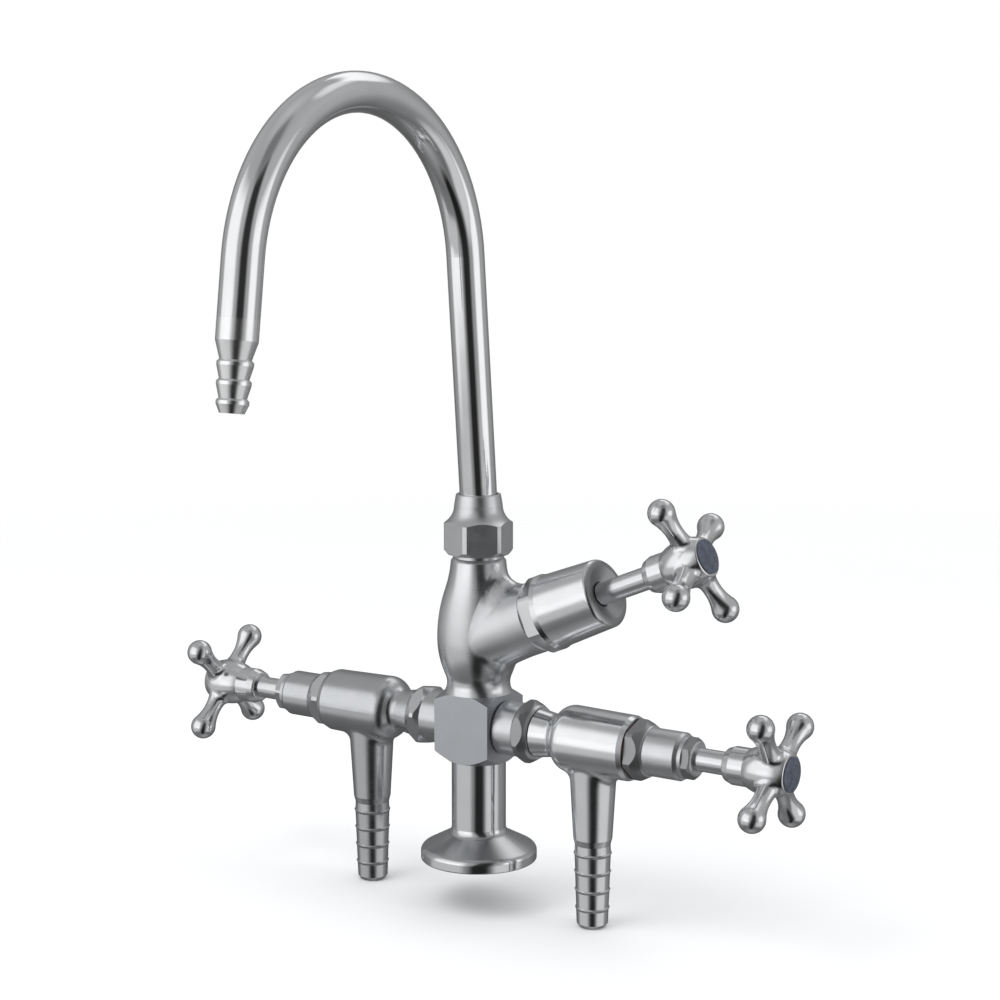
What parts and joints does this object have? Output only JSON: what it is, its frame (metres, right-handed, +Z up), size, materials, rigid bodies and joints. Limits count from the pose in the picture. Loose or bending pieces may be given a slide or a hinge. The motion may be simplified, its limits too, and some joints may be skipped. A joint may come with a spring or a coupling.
{
  "type": "swan neck tap",
  "caption": "Bench laboratory water tap: swan neck spout above an inclined valve, and side hose cocks hanging from a square block, each turned by a cross handle.",
  "frame": {"origin": "centre of the flange's underside, on the inlet's axis", "axes": "+Z up along the pillar, -Y towards the spout at rest, +X towards the side that the upper valve leans over"},
  "size_m": [0.3262, 0.2063, 0.3804],
  "materials": {
    "chrome": "polished chromium plate over cast and turned brass",
    "brass": "turned, unplated",
    "rubber": "moulded, matt",
    "fibre": "vulcanised fibre, matt",
    "packing": "greased graphite yarn",
    "cap": "dark blue-grey, smooth",
    "steel": "turned"
  },
  "bodies": {
    "tap_body": {"base_pillar": "chrome", "centre_block": "chrome", "left_bonnet": "chrome", "left_bonnet_washer": "fibre", "left_gland_nut": "chrome", "left_nipple": "chrome", "left_packing": "packing", "left_union_nut": "chrome", "left_union_tail": "chrome", "left_union_washer": "fibre", "left_valve_body": "chrome", "pillar_gasket": "fibre", "right_bonnet": "chrome", "right_bonnet_washer": "fibre", "right_gland_nut": "chrome", "right_nipple": "chrome", "right_packing": "packing", "right_union_nut": "chrome", "right_union_tail": "chrome", "right_union_washer": "fibre", "right_valve_body": "chrome", "swan_body_gasket": "fibre", "swan_nut": "chrome", "swan_ring_seal": "rubber", "swan_valve_body": "chrome", "swan_washer": "fibre", "upper_bonnet": "chrome", "upper_bonnet_bell": "chrome", "upper_bonnet_washer": "fibre", "upper_gland_nut": "chrome", "upper_packing": "packing"},
    "swan_neck": {"swan_tube": "chrome", "swan_ferrule": "brass", "swan_nozzle": "chrome"},
    "left_turning_set": {"left_spindle": "chrome", "left_handle": "chrome", "left_handle_screw": "steel", "left_handle_cap": "cap"},
    "left_plunger_set": {"left_plunger": "brass", "left_plunger_washer": "rubber", "left_plunger_screw": "brass"},
    "right_turning_set": {"right_spindle": "chrome", "right_handle": "chrome", "right_handle_screw": "steel", "right_handle_cap": "cap"},
    "right_plunger_set": {"right_plunger": "brass", "right_plunger_washer": "rubber", "right_plunger_screw": "brass"},
    "upper_turning_set": {"upper_spindle": "chrome", "upper_handle": "chrome", "upper_handle_screw": "steel", "upper_handle_cap": "cap"},
    "upper_plunger_set": {"upper_plunger": "brass", "upper_plunger_washer": "rubber", "upper_plunger_screw": "brass"}
  },
  "joints": [
    {"name": "swan_neck_swivel", "type": "hinge", "parent": "tap_body", "child": "swan_neck", "pos_m": [0, 0, 0.15], "axis": [0, 0, 1], "continuous": true},
    {"name": "left_handle_turn", "type": "hinge", "parent": "tap_body", "child": "left_turning_set", "pos_m": [0, 0, 0.0648], "axis": [-1, 0, 0], "range_deg": [0, 720]},
    {"name": "left_plunger_lift", "type": "slide", "parent": "tap_body", "child": "left_plunger_set", "axis": [-1, 0, 0], "range_m": [0, 0.004]},
    {"name": "right_handle_turn", "type": "hinge", "parent": "tap_body", "child": "right_turning_set", "pos_m": [0, 0, 0.0648], "axis": [1, 0, 0], "range_deg": [0, 720]},
    {"name": "right_plunger_lift", "type": "slide", "parent": "tap_body", "child": "right_plunger_set", "axis": [1, 0, 0], "range_m": [0, 0.004]},
    {"name": "upper_handle_turn", "type": "hinge", "parent": "tap_body", "child": "upper_turning_set", "pos_m": [0, 0, 0.1051], "axis": [0.9232, 0, 0.3843], "range_deg": [0, 720]},
    {"name": "upper_plunger_lift", "type": "slide", "parent": "tap_body", "child": "upper_plunger_set", "axis": [0.9232, 0, 0.3843], "range_m": [0, 0.004]}
  ],
  "couplings": [
    {"joint": "left_plunger_lift", "follows": "left_handle_turn", "m_per_rad": 0.00031831},
    {"joint": "right_plunger_lift", "follows": "right_handle_turn", "m_per_rad": 0.00031831},
    {"joint": "upper_plunger_lift", "follows": "upper_handle_turn", "m_per_rad": 0.00031831}
  ]
}
